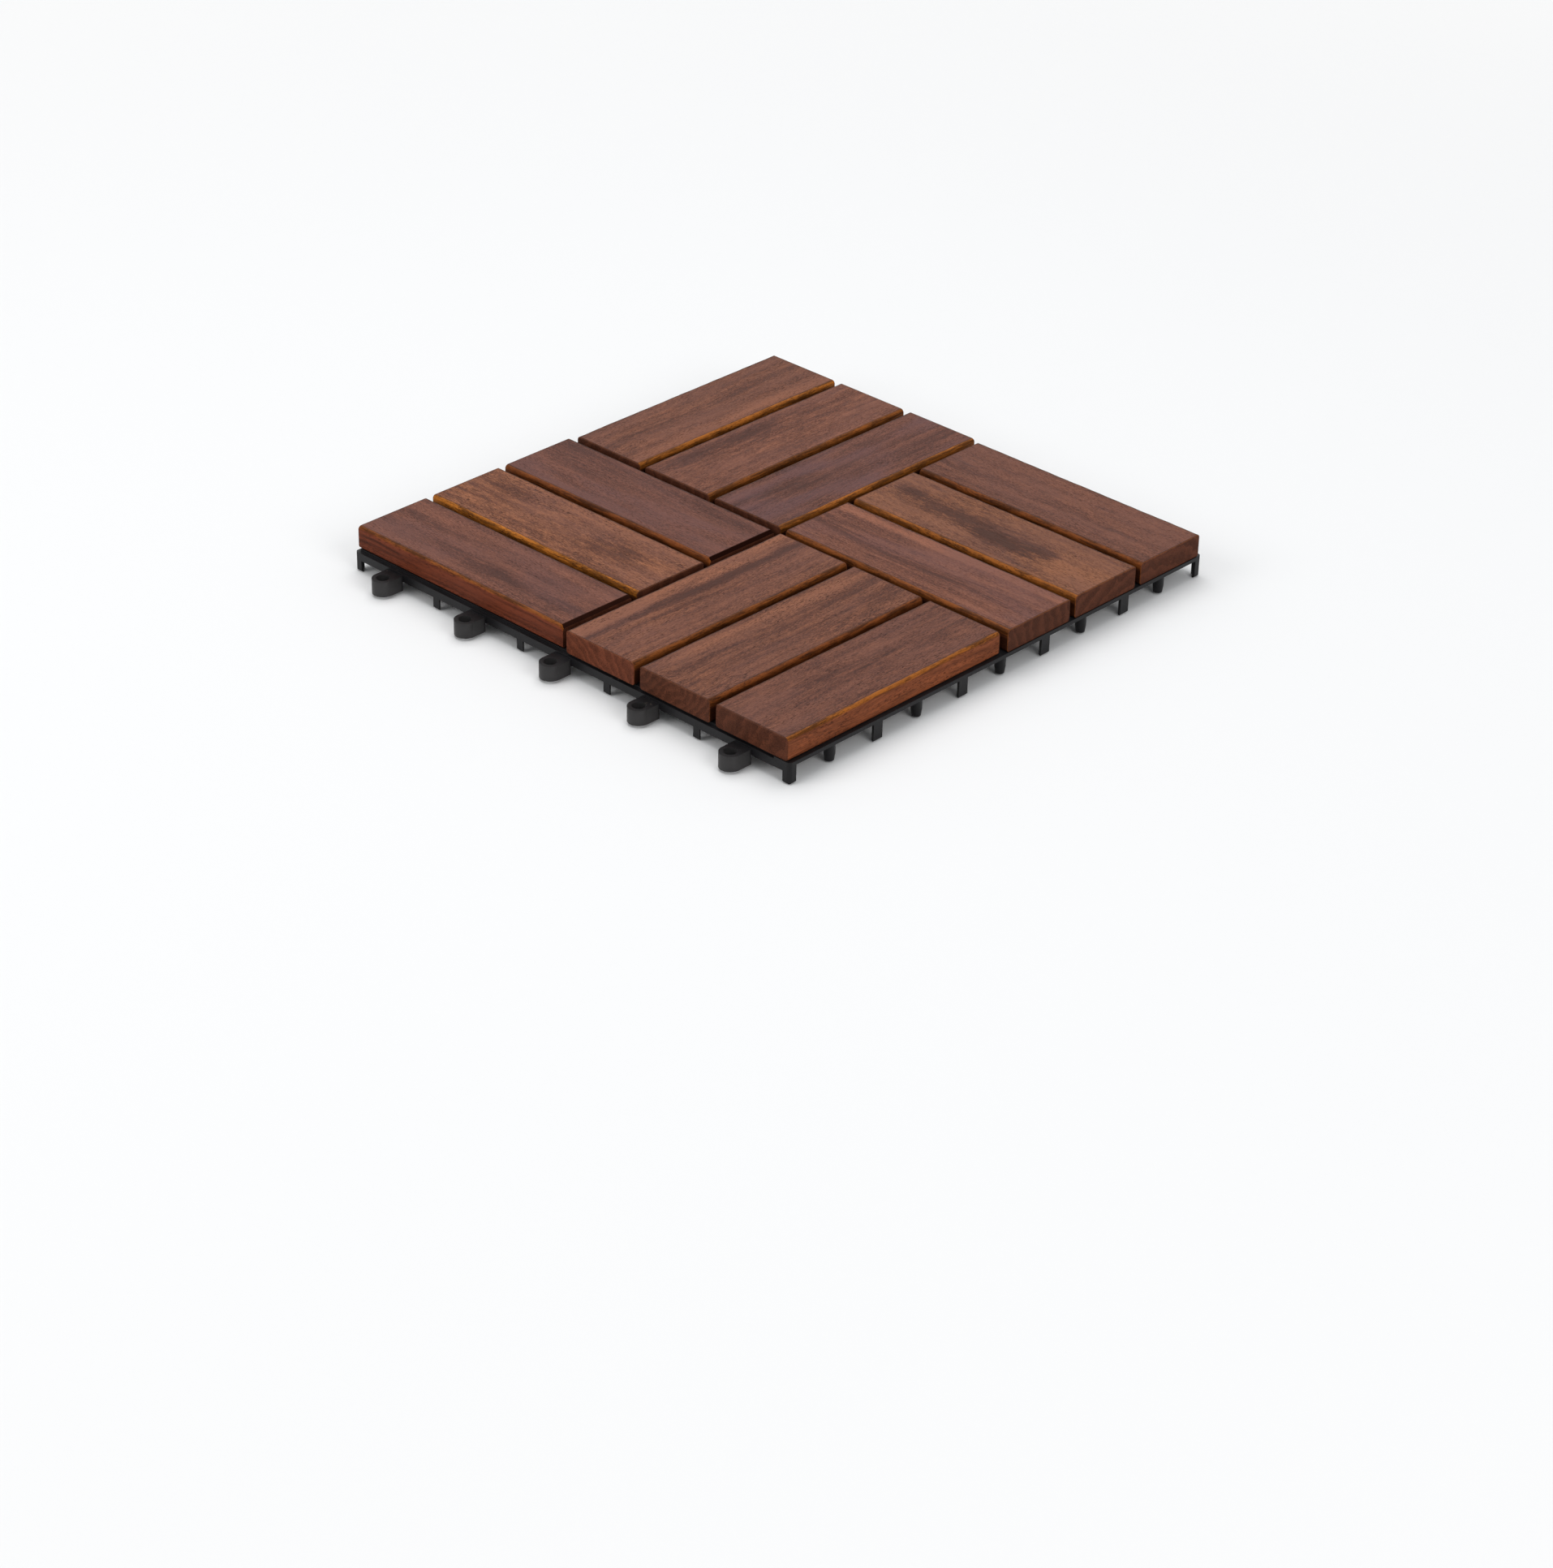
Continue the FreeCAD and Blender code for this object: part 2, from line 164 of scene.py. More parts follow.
LOOKS = {
    "slat_left_1": TimberLook(
        tone=1.06, tan=0.12, violet=0.3, edge_highlight=0.26, highlight_width=2.0, gap_shade=0.15,
        side_tone=0.76, side_red=0.8, side_layers=2.6, pith=(-30.0, -70.0), ring_spacing=7.0,
        flecks=0.6, inner_ease=2.0, inner_bevelled=True, inner_shade_strength=0.95,
        streaks=[
            Streak(-6.0, 3.0, 0.3, 0.01, 10.0), Streak(14.0, 4.0, -0.2),
            Streak(-17.0, 4.0, -0.2, 0.0, -80.0, 20.0),
        ],
        stains=[
            Stain(36.0, 2.0, 16.0, 4.0, 0.45), Stain(10.0, -10.0, 40.0, 6.0, 0.2),
            Stain(58.0, -9.0, 14.0, 4.0, 0.3),
        ],
    ),
    "slat_left_2": TimberLook(
        tone=1.25, tan=0.8, edge_highlight=1.0, pith=(60.0, -20.0), ring_spacing=9.0, flecks=0.85,
        mottle=0.6, inner_ease=0.7, inner_shade_strength=0.3,
        stains=[
            Stain(32.0, 2.0, 22.0, 9.0, 0.35), Stain(-40.0, 8.0, 22.0, 7.0, 0.2),
            Stain(5.0, -12.0, 26.0, 5.0, 0.2),
        ],
    ),
    "slat_left_3": TimberLook(
        tan=0.05, violet=0.5, edge_highlight=0.12, pith=(0.0, -110.0), ring_spacing=9.0,
        mottle=0.25, inner_ease=2.1, inner_bevelled=True, inner_shade_strength=1.0,
        streaks=[Streak(15.0, 4.0, 0.18, -0.02), Streak(-4.0, 6.0, -0.12, 0.01)],
    ),
    "slat_front_1": TimberLook(
        tone=0.95, tan=0.25, edge_highlight=0.55, highlight_width=2.3, gap_shade=0.0, side_tone=1.22,
        end_tone=0.9, end_edge_lightening=0.1, pith=(-90.0, -40.0), ring_spacing=8.0, flecks=0.7, mottle=0.5,
        streaks=[
            Streak(0.0, 1.6, 0.45, 0.02, -8.0, 50.0), Streak(-12.0, 5.0, -0.15),
            Streak(-19.0, 3.0, 0.2),
        ],
    ),
    "slat_front_2": TimberLook(
        tone=1.04, tan=0.5, edge_highlight=0.12, end_red=0.2, pith=(40.0, 30.0),
        ring_spacing=4.0, rings=0.4, flecks=0.8, mottle=0.4,
        streaks=[
            Streak(17.0, 4.0, -0.5, 0.0, -60.0, 60.0), Streak(5.0, 2.0, 0.25, -0.02),
            Streak(-6.0, 3.0, 0.2, 0.02),
        ],
    ),
    "slat_front_3": TimberLook(
        tone=1.12, tan=0.5, edge_highlight=0.22, end_tone=1.15, end_red=0.9, pith=(45.0, -35.0),
        ring_spacing=5.0, rings=0.4, flecks=0.7,
        streaks=[
            Streak(9.5, 3.2, 0.85, -0.035), Streak(1.0, 1.5, 0.45, -0.02, -30.0, 60.0),
            Streak(18.5, 5.0, -0.6),
        ],
    ),
    "slat_right_1": TimberLook(
        tone=0.97, tan=0.25, edge_highlight=0.15, end_tone=0.85, end_edge_lightening=0.6, pith=(20.0, -90.0),
        ring_spacing=8.0, mottle=0.4,
        streaks=[Streak(-16.0, 5.0, -0.2), Streak(6.0, 3.0, 0.15, 0.01)],
    ),
    "slat_right_2": TimberLook(
        tone=1.02, tan=0.85, edge_highlight=0.5, end_tone=0.86, end_edge_lightening=0.7, pith=(-20.0, -40.0),
        ring_spacing=7.0, flecks=0.7, mottle=0.7,
        streaks=[
            Streak(2.0, 14.0, -0.5, 0.0, -80.0, -38.0), Streak(15.0, 6.0, -0.5, 0.0, 10.0),
        ],
        stains=[
            Stain(-7.0, 6.0, 22.0, 6.0, 1.1), Stain(12.0, 1.0, 46.0, 10.0, 0.5),
            Stain(58.0, -5.0, 11.0, 5.0, 0.8), Stain(-30.0, -1.0, 12.0, 5.0, 0.6),
        ],
    ),
    "slat_right_3": TimberLook(
        tone=1.18, tan=0.25, violet=0.4, edge_highlight=0.2, end_tone=0.82, end_red=0.2, end_edge_lightening=0.6,
        pith=(70.0, -10.0), rings=0.45,
        streaks=[
            Streak(-17.5, 4.0, -0.7, 0.01), Streak(2.0, 6.0, 0.3, 0.01),
            Streak(-6.0, 2.0, 0.4, 0.02, 0.0),
        ],
    ),
    "slat_back_1": TimberLook(
        tone=0.99, tan=0.4, edge_highlight=0.7, pith=(50.0, -50.0), ring_spacing=7.0, flecks=0.6,
        mottle=0.4,
        streaks=[Streak(17.5, 4.5, -0.8), Streak(-4.0, 3.0, 0.2, 0.01)],
    ),
    "slat_back_2": TimberLook(
        tone=1.14, tan=0.35, edge_highlight=0.35, pith=(-60.0, -30.0), mottle=0.5,
        streaks=[Streak(-15.0, 3.0, 0.35, 0.0, 0.0)],
        stains=[Stain(8.0, -13.0, 20.0, 6.0, 0.5), Stain(50.0, -12.0, 18.0, 5.0, 0.55)],
    ),
    "slat_back_3": TimberLook(
        tone=0.96, tan=0.08, violet=0.9, edge_highlight=0.6, pith=(-40.0, -25.0), rings=0.5,
        streaks=[
            Streak(-9.0, 2.5, 0.55, 0.0, 10.0), Streak(-1.0, 2.0, 0.4, 0.01, -10.0),
            Streak(8.0, 3.0, 0.2),
        ],
    ),
}


class Graph:
    """A short way to lay nodes in a tree. Values are numbers, colours or sockets."""

    def __init__(self, tree):
        self.tree = tree

    def node(self, kind, **settings):
        node = self.tree.nodes.new(kind)
        for name, value in settings.items():
            setattr(node, name, value)
        return node

    def plug(self, socket, value):
        if isinstance(value, bpy.types.NodeSocket):
            self.tree.links.new(value, socket)
        else:
            socket.default_value = value

    def plug_all(self, node, values):
        for socket, value in zip(node.inputs, values):
            self.plug(socket, value)
        return node.outputs[0]

    def math(self, operation, *values, clamp=False):
        node = self.node("ShaderNodeMath", operation=operation, use_clamp=clamp)
        return self.plug_all(node, values)

    def total(self, *values):
        result = values[0]
        for value in values[1:]:
            result = self.math("ADD", result, value)
        return result

    def times(self, *values):
        result = values[0]
        for value in values[1:]:
            result = self.math("MULTIPLY", result, value)
        return result

    def clamped(self, value, offset=0.0):
        return self.math("ADD", value, offset, clamp=True)

    def swing(self, value, amount):
        """A texture of 0 to 1 as a change of plus or minus half the amount."""
        return self.math("MULTIPLY", self.math("SUBTRACT", value, 0.5), amount)

    def vector(self, operation, first, second):
        node = self.node("ShaderNodeVectorMath", operation=operation)
        return self.plug_all(node, (first, second))

    def length(self, vector):
        node = self.node("ShaderNodeVectorMath", operation="LENGTH")
        self.plug(node.inputs[0], vector)
        return node.outputs["Value"]

    def parts(self, vector):
        node = self.node("ShaderNodeSeparateXYZ")
        self.plug(node.inputs[0], vector)
        return tuple(node.outputs)

    def fade(self, value, low, high, clear=0.0, full=1.0):
        """Runs smoothly from clear to full as value goes from low to high."""
        node = self.node("ShaderNodeMapRange", interpolation_type="SMOOTHSTEP")
        return self.plug_all(node, (value, low, high, clear, full))

    def noise_node(self, place, grain, detail=2.0, roughness=0.5):
        """Noise whose spots are about grain millimetres long, wide and high."""
        stretch = tuple(1.0 / size for size in grain)
        node = self.node("ShaderNodeTexNoise")
        self.plug(node.inputs["Vector"], self.vector("MULTIPLY", place, stretch))
        self.plug(node.inputs["Scale"], 1.0)
        self.plug(node.inputs["Detail"], detail)
        self.plug(node.inputs["Roughness"], roughness)
        return node

    def noise(self, place, grain, detail=2.0, roughness=0.5):
        return self.noise_node(place, grain, detail, roughness).outputs[0]

    def mix(self, amount, first, second):
        """One colour, giving way to a second by an amount."""
        node = self.node("ShaderNodeMix", data_type="RGBA", clamp_factor=True)
        self.plug(node.inputs[MIX_FACTOR], amount)
        self.plug(node.inputs[MIX_FIRST], first)
        self.plug(node.inputs[MIX_SECOND], second)
        return node.outputs[MIX_RESULT]

    def switch(self, amount, first, second):
        """One shader, giving way to a second by an amount."""
        return self.plug_all(self.node("ShaderNodeMixShader"), (amount, first, second))


def rgba(colour, factor=1.0):
    """A colour for a socket, made lighter or darker by a factor."""
    return (*(factor * part for part in colour[:3]), 1.0)


def blend(first, second, share, factor=1.0):
    """The colour a share of the way from the first to the second, times a factor."""
    return [factor * (a + (b - a) * share) for a, b in zip(first, second)]


def fresh_material(name):
    """An empty material with its output and one shader, and the graph to build on."""
    material = bpy.data.materials.new(name)
    material.use_nodes = True
    material.node_tree.nodes.clear()
    graph = Graph(material.node_tree)
    output = graph.node("ShaderNodeOutputMaterial")
    shader = graph.node("ShaderNodeBsdfPrincipled")
    graph.plug(output.inputs["Surface"], shader.outputs[0])
    return material, graph, shader


def object_place(graph):
    """The point on the piece in millimetres, in the piece's own frame."""
    coordinates = graph.node("ShaderNodeTexCoord").outputs["Object"]
    return graph.vector("MULTIPLY", coordinates, (1 / MM, 1 / MM, 1 / MM))


def relief(graph, shader, height, depth, strength=1.0):
    """Fine relief of the finish, depth metres from lowest to highest."""
    bump = graph.node("ShaderNodeBump")
    graph.plug(bump.inputs["Strength"], strength)
    graph.plug(bump.inputs["Distance"], depth)
    graph.plug(bump.inputs["Height"], height)
    graph.plug(shader.inputs["Normal"], bump.outputs[0])


def streak_mask(graph, x, y, wander, streak):
    """1 on the middle line of a streak, falling to 0 at its sides and ends."""
    soft = 12.0
    line = graph.total(y, wander, graph.math("MULTIPLY", x, -streak.slope), -streak.across)
    side = graph.fade(graph.math("ABSOLUTE", line), 0.0, streak.half_width * 1.6, 1.0, 0.0)
    begun = graph.fade(x, streak.start - soft, streak.start + soft)
    ended = graph.fade(x, streak.end - soft, streak.end + soft, 1.0, 0.0)
    return graph.times(side, begun, ended)


def stain_mask(graph, x, y, wander, ragged, stain):
    """1 in the middle of a patch, falling to 0 at its ragged outline."""
    along = graph.math("DIVIDE", graph.math("SUBTRACT", x, stain.along), stain.half_length)
    offset = graph.total(y, wander, -stain.across)
    across = graph.math("DIVIDE", offset, stain.half_width)
    squares = graph.total(graph.times(along, along), graph.times(across, across))
    distance = graph.math("SQRT", squares)
    return graph.fade(graph.total(distance, ragged), 0.15, 1.45, 1.0, 0.0)


class Wood:
    """The textures and the two grain colours that the faces of one slat share."""

    def __init__(self, graph, look, seed, settings):
        place = object_place(graph)
        self.x, self.y, _ = graph.parts(place)
        self.seeded = graph.vector("ADD", place, tuple(seed * step for step in SEED_STEP))
        bend = graph.noise_node(self.seeded, (70.0, 14.0, 14.0), 1.0).outputs["Color"]
        bend = graph.vector("SUBTRACT", bend, (0.5, 0.5, 0.5))
        bend = graph.vector("MULTIPLY", bend, (0.0, 7.0, 7.0))
        self.grained = graph.vector("ADD", self.seeded, bend)

        self.fibre = graph.noise(self.grained, (16.0, 0.7, 0.7), 3.0, 0.6)
        self.strand = graph.noise(self.grained, (34.0, 2.4, 2.4), 3.0, 0.6)
        self.band = graph.noise(self.grained, (120.0, 7.0, 7.0), 2.0)
        self.grit = graph.noise(self.grained, (1.5, 0.42, 0.42), 2.0, 0.75)
        self.mottle = graph.noise(self.seeded, (8.0, 2.6, 2.6), 3.0, 0.6)
        self.haze = graph.noise(self.seeded, (60.0, 18.0, 18.0), 1.0)

        from_pith = graph.vector("SUBTRACT", graph.vector("ADD", place, bend), (0.0, *look.pith))
        distance = graph.length(graph.vector("MULTIPLY", from_pith, (0.0, 1.0, 1.0)))
        turns = graph.math("DIVIDE", distance, look.ring_spacing)
        phase = graph.math("FRACT", graph.total(turns, graph.times(self.band, 1.4)))
        self.ring = graph.times(
            graph.fade(phase, 0.25, 0.86), graph.fade(phase, 0.88, 1.0, 1.0, 0.0)
        )

        dashes = graph.noise(self.grained, (2.4, 0.32, 0.32), 1.0)
        crowding = graph.noise(self.seeded, (30.0, 6.0, 6.0), 1.0)
        self.pores = graph.times(
            graph.fade(dashes, 0.54, 0.64), graph.fade(crowding, 0.36, 0.62, 0.4, 1.0)
        )

        reach = graph.node("ShaderNodeAttribute", attribute_name=REACH)
        self.over_side, self.over_end, self.inner_end = graph.parts(reach.outputs["Vector"])
        self.ripple = graph.swing(graph.noise(self.grained, (5.0, 1.2, 1.2), 2.0), 1.2)

        self.light = blend(settings.purple_light, settings.tan_light, look.tan, look.tone)
        self.dark = blend(settings.purple_dark, settings.tan_dark, look.tan, look.tone)


def top_colour(graph, wood, look, settings):
    """The planed top face, with the slat's own streaks and stains."""
    tone = graph.total(
        0.5,
        graph.swing(wood.fibre, 1.2),
        graph.swing(wood.strand, 0.75),
        graph.swing(wood.band, 1.0),
        graph.swing(wood.grit, 2.4),
        graph.swing(wood.haze, 0.9),
        graph.swing(wood.mottle, look.mottle * 2.2),
        graph.math("MULTIPLY", wood.ring, -look.rings * 0.5),
    )
    wander = graph.swing(graph.noise(wood.seeded, (45.0, 60.0, 60.0), 2.0), 9.0)
    ragged = graph.swing(graph.noise(wood.grained, (9.0, 1.6, 1.6), 3.0, 0.6), 1.6)
    for streak in look.streaks:
        mask = streak_mask(graph, wood.x, wood.y, wander, streak)
        broken = graph.fade(wood.fibre, 0.2, 0.7, 1.3, 0.7)
        tone = graph.total(tone, graph.times(mask, -streak.strength, broken))
    for stain in look.stains:
        mask = stain_mask(graph, wood.x, wood.y, wander, ragged, stain)
        tone = graph.total(tone, graph.times(mask, -stain.strength))

    face = graph.mix(graph.clamped(tone), rgba(wood.dark), rgba(wood.light))
    clouds = graph.fade(wood.haze, 0.42, 0.66, 0.0, 0.35 + 0.3 * look.violet)
    smoky = blend(settings.smoky, settings.violet, look.violet, look.tone)
    face = graph.mix(clouds, face, rgba(smoky))
    return graph.mix(graph.fade(tone, -0.7, 0.15, 0.55, 0.0), face, rgba(wood.dark, 0.4))


def side_colour(graph, wood, look, settings, lit_side):
    """The long sides: a painted highlight on the lit upper edge, then upright grain, with painted
    shade deep in the gap.
    """
    grain = graph.total(
        0.5,
        graph.swing(wood.strand, 2.4),
        graph.swing(wood.fibre, 1.6),
        graph.swing(wood.grit, 0.8),
    )
    layers = graph.swing(graph.noise(wood.grained, (90.0, 4.0, 1.6), 2.0), look.side_layers)
    # The sides take the top's light grain, made redder and darker: partly their own redder grain,
    # partly painted shade.
    redness = (1.0, 1.0 - 0.22 * look.side_red, 1.0 - 0.15 * look.side_red)
    tints = zip(wood.light, settings.side_tint, redness)
    light = [1.15 * look.side_tone * part * tint * red for part, tint, red in tints]
    side = graph.mix(
        graph.clamped(graph.total(grain, layers), 0.15), rgba(light, 0.42), rgba(light)
    )

    # Painted highlight: the rounded upper edge on the lit side is painted a light, mottled brown;
    # on the far side the edge is painted dark as shade, over a narrower band.
    lit = graph.math("MULTIPLY", wood.y, lit_side)
    edge_highlight = blend(settings.edge_highlight_dull, settings.edge_highlight, look.edge_highlight)
    edge_highlight_dark = [0.3 * part for part in edge_highlight]
    edge_tone = graph.total(graph.times(grain, 0.5), graph.times(wood.mottle, 0.65))
    edge = graph.mix(graph.fade(edge_tone, 0.36, 0.8), rgba(edge_highlight_dark), rgba(edge_highlight))
    edge = graph.mix(graph.fade(lit, -1.0, 1.0), rgba(edge_highlight_dark, 0.6), edge)
    edge_width = graph.fade(lit, -1.0, 1.0, 1.4, look.highlight_width)
    down = graph.total(wood.over_side, wood.ripple)
    below = graph.fade(graph.math("SUBTRACT", down, edge_width), -0.5, 0.9)
    colour = graph.mix(below, edge, side)
    shade = graph.fade(wood.over_side, 2.2, 6.5, 0.0, look.gap_shade)
    return graph.mix(shade, colour, rgba(wood.dark, 0.2))


def end_colour(graph, wood, look, settings, inner_end_shade):
    """The sawn ends: rings and speckle, a lighter brown at the outer edge, and painted shade over
    the darker end grain at the inner one.
    """
    speckle = graph.noise(wood.seeded, (3.0, 0.4, 0.4), 2.0, 0.7)
    arcs = graph.total(
        graph.times(wood.ring, 0.5),
        graph.swing(speckle, 2.6),
        graph.swing(wood.mottle, 0.9),
        0.3,
    )
    light = blend(settings.end_light, settings.end_red, look.end_red, look.end_tone)
    colour = graph.mix(graph.clamped(arcs), rgba(light, 0.42), rgba(light))
    # The edge of the outer end turns a lighter brown, in mottled patches.
    lightened = graph.times(
        graph.fade(wood.over_end, 0.2, 1.3, look.end_edge_lightening, 0.0),
        graph.fade(wood.mottle, 0.35, 0.6, 0.4, 1.0),
    )
    colour = graph.mix(lightened, colour, rgba(blend(settings.edge_highlight_dull, settings.edge_highlight, 0.25)))
    # Painted shade at the inner end
    return graph.mix(inner_end_shade, colour, rgba(wood.dark, 0.17))


def timber_material(name, look, seed, lit_side, settings):
    """Oiled hardwood, whose top, sides and ends each have a colour of their own, with painted
    highlight and painted shade on the edges, sides and inner ends.
    """
    material, graph, shader = fresh_material(name)
    wood = Wood(graph, look, seed, settings)
    # Painted shade over the inner end, strongest near the top face; it also takes the shine off
    # there.
    fallen = graph.fade(wood.over_side, 1.5, 4.0, 1.0, 0.3)
    inner_end_shade = graph.times(wood.inner_end, look.inner_shade_strength, fallen)

    top = top_colour(graph, wood, look, settings)
    side = side_colour(graph, wood, look, settings, lit_side)
    end = end_colour(graph, wood, look, settings, inner_end_shade)
    colour = graph.mix(graph.fade(wood.over_side, 0.05, 0.35), top, side)
    colour = graph.mix(graph.fade(wood.over_end, 0.0, 0.25), colour, end)

    # Painted shade: a dark line just past the edges and ends of the top face, where the rounding
    # turns away from the light.
    nearest = graph.math("MAXIMUM", wood.over_side, wood.over_end)
    from_edge = graph.math("ABSOLUTE", graph.total(nearest, graph.times(wood.ripple, 0.15)))
    line = graph.times(
        graph.fade(from_edge, 0.0, 0.38, 1.0, 0.0),
        settings.edge_shade_line,
        graph.fade(wood.mottle, 0.25, 0.6, 0.5, 1.0),
    )
    colour = graph.mix(line, colour, rgba(wood.dark, 0.25))
    colour = graph.mix(graph.times(wood.pores, look.flecks), colour, rgba(wood.dark, 0.32))
    graph.plug(shader.inputs["Base Color"], colour)

    rough = graph.total(
        settings.roughness,
        graph.swing(wood.fibre, 0.25),
        graph.times(wood.pores, 0.15),
        graph.times(graph.fade(wood.over_end, 0.0, 0.6), 0.12),
    )
    graph.plug(shader.inputs["Roughness"], rough)
    glossy = graph.fade(wood.over_side, 0.0, 2.0, 0.12, 0.06)
    glossy = graph.times(graph.math("SUBTRACT", 1.0, inner_end_shade), glossy)
    graph.plug(shader.inputs["Specular IOR Level"], glossy)
    height = graph.total(wood.fibre, graph.times(wood.pores, -0.9), graph.times(wood.mottle, 0.4))
    relief(graph, shader, height, 0.00012, 0.5)
    return material


def plastic_material(settings):
    """Black moulded plastic with a faint moulded grain, fine dust where it lies level, and painted
    light on the upright sides of the loops.
    """
    material, graph, shader = fresh_material("black_plastic_moulded")
    place = object_place(graph)
    cloud = graph.noise(place, (14.0, 14.0, 14.0), 3.0)
    grain = graph.noise(place, (0.45, 0.45, 0.45), 2.0)
    facing = graph.parts(graph.node("ShaderNodeTexCoord").outputs["Normal"])[2]
    level = graph.fade(facing, 0.85, 0.98)
    specks = graph.fade(graph.noise(place, (0.9, 0.9, 0.9), 1.0), 0.70, 0.78)
    drifts = graph.fade(graph.noise(place, (30.0, 30.0, 30.0), 2.0), 0.45, 0.7)
    dust = graph.times(specks, drifts, level, settings.dust)
    lightened = rgba(settings.colour, 1.7)
    colour = graph.mix(graph.fade(cloud, 0.35, 0.7), rgba(settings.colour), lightened)

    x, y, _ = graph.parts(place)
    face = -settings.rim_face / MM
    # Painted light: the upright sides of the loops, out past the rim's face, are lighter, as they
    # stand out of the slats' shade and catch more light.
    painted_loop_light = graph.times(
        graph.fade(graph.math("MINIMUM", x, y), face - 1.5, face, 1.0, 0.0),
        graph.fade(facing, 0.2, 0.7, 1.0, 0.0),
        graph.fade(cloud, 0.2, 0.6, 0.6, 1.0),
    )
    colour = graph.mix(painted_loop_light, colour, rgba(settings.painted_loop_light_colour))
    colour = graph.mix(dust, colour, rgba(settings.dust_colour))
    graph.plug(shader.inputs["Base Color"], colour)
    rough = graph.total(
        settings.roughness,
        graph.swing(cloud, 0.16),
        graph.swing(grain, 0.08),
        graph.times(dust, 0.4),
    )
    graph.plug(shader.inputs["Roughness"], rough)
    shader.inputs["Specular IOR Level"].default_value = 0.2
    relief(graph, shader, graph.total(grain, graph.times(cloud, 0.5)), 0.00004, 0.35)
    return material


def steel_material(settings):
    """Plated screw steel, a little uneven and dull."""
    material, graph, shader = fresh_material("plated_screw_steel")
    place = object_place(graph)
    cloud = graph.noise(place, (2.5, 2.5, 2.5), 3.0)
    marks = graph.noise(place, (0.3, 0.3, 4.0), 2.0)
    dull = rgba(settings.colour, 0.45)
    colour = graph.mix(graph.fade(cloud, 0.4, 0.7), rgba(settings.colour), dull)
    graph.plug(shader.inputs["Base Color"], colour)
    rough = graph.total(settings.roughness, graph.swing(cloud, 0.3), graph.swing(marks, 0.15))
    graph.plug(shader.inputs["Roughness"], rough)
    shader.inputs["Metallic"].default_value = 1.0
    relief(graph, shader, marks, 0.00002, 0.4)
    return material


def new_piece(name, points, faces, material):
    """A smooth-shaded mesh object."""
    mesh = bpy.data.meshes.new(name)
    mesh.from_pydata([tuple(p) for p in points], [], faces)
    mesh.materials.append(material)
    mesh.shade_smooth()
    piece = bpy.data.objects.new(name, mesh)
    bpy.context.scene.collection.objects.link(piece)
    return piece


def smooth_waver(rng, places, wavelengths):
    """A smooth run of values between about -1 and 1."""
    total = np.zeros(len(places))
    for wavelength in wavelengths:
        wave = rng.uniform(0.5, 1.0)
        total += wave * np.sin(2 * np.pi * (places / wavelength + rng.uniform()))
    return total / len(wavelengths)


def arc_points(centre, radius, start, end, steps):
    """Points on an arc after its start, with the angle of each."""
    angles = np.radians(np.linspace(start, end, steps + 1)[1:])
    return [
        (centre[0] + radius * math.cos(a), centre[1] + radius * math.sin(a), math.degrees(a))
        for a in angles
    ]


def slat_section(half_width, low, high, left_radius, right_radius, under_radius):
    """A slat's outline: for each point y, z and how far it is past the top face's edge."""
    start, end = left_radius - half_width, half_width - right_radius
    left_top, right_top = high - left_radius, high - right_radius
    under, under_end = low + under_radius, half_width - under_radius
    rows = []
    inside = np.linspace(start + EDGE_MARGIN, end - EDGE_MARGIN, TOP_ROWS)
    for y in (start, start + EDGE_STEP, *inside, end - EDGE_STEP, end):
        rows.append((y, high, -min(y - start, end - y)))
    for y, z, angle in arc_points((end, right_top), right_radius, 90, 0, EDGE_ARC_STEPS):
        rows.append((y, z, right_radius * math.radians(90 - angle)))
    corner = right_radius * math.pi / 2
    for z in np.linspace(right_top, under, FLANK_ROWS)[1:]:
        rows.append((half_width, z, corner + right_top - z))
    for y, z, _ in arc_points((under_end, under), under_radius, 0, -90, UNDER_ARC_STEPS):
        rows.append((y, z, DEEP))
    for y in np.linspace(under_end, -under_end, UNDER_ROWS)[1:]:
        rows.append((y, low, DEEP))
    for y, z, _ in arc_points((-under_end, under), under_radius, -90, -180, UNDER_ARC_STEPS):
        rows.append((y, z, DEEP))
    corner = left_radius * math.pi / 2
    for z in np.linspace(under, left_top, FLANK_ROWS)[1:]:
        rows.append((-half_width, z, corner + left_top - z))
    for y, z, angle in arc_points((start, left_top), left_radius, 180, 90, EDGE_ARC_STEPS)[:-1]:
        rows.append((y, z, left_radius * math.radians(angle - 90)))
    return rows


def rounded_end(half, side, ease):
    """Stations over a rounded end: x, cut off the top and off each side, reach there."""
    rows = [(side * (half - ease - BEFORE_ROUND), 0.0, 0.0, -BEFORE_ROUND, -BEFORE_ROUND)]
    for angle in np.linspace(0, 90, END_ARC_STEPS):
        turn = math.radians(angle)
        cut, over = ease * (1 - math.sin(turn)), ease * (math.pi / 2 - turn)
        x = side * (half - ease * (1 - math.cos(turn)))
        rows.append((x, ROUND_TOP * cut, ROUND_SIDE * cut, over, over))
    return rows


def bevelled_end(half, side, length):
    """The same for an end whose top edge alone is planed off flat."""
    rows = [(side * (half - length - BEFORE_BEVEL), 0.0, 0.0, -BEFORE_BEVEL, -length)]
    for share in BEVEL_SHARES:
        step = length * share
        rows.append((side * (half - length + step), BEVEL_SLOPE * step, 0.0, step, step - length))
    return rows


def slat_stations(length, end_ease, look):
    """Places along a slat, closer together at its two ends."""
    half = length / 2
    inner = bevelled_end if look.inner_bevelled else rounded_end
    rows = rounded_end(half, -1, end_ease) + inner(half, 1, look.inner_ease)
    start, end = end_ease + END_MARGIN - half, half - look.inner_ease - END_MARGIN
    for x in np.linspace(start, end, LENGTH_ROWS):
        over = max(end_ease - half - x, x - half + look.inner_ease)
        rows.append((x, 0.0, 0.0, over, over))
    return sorted(rows)


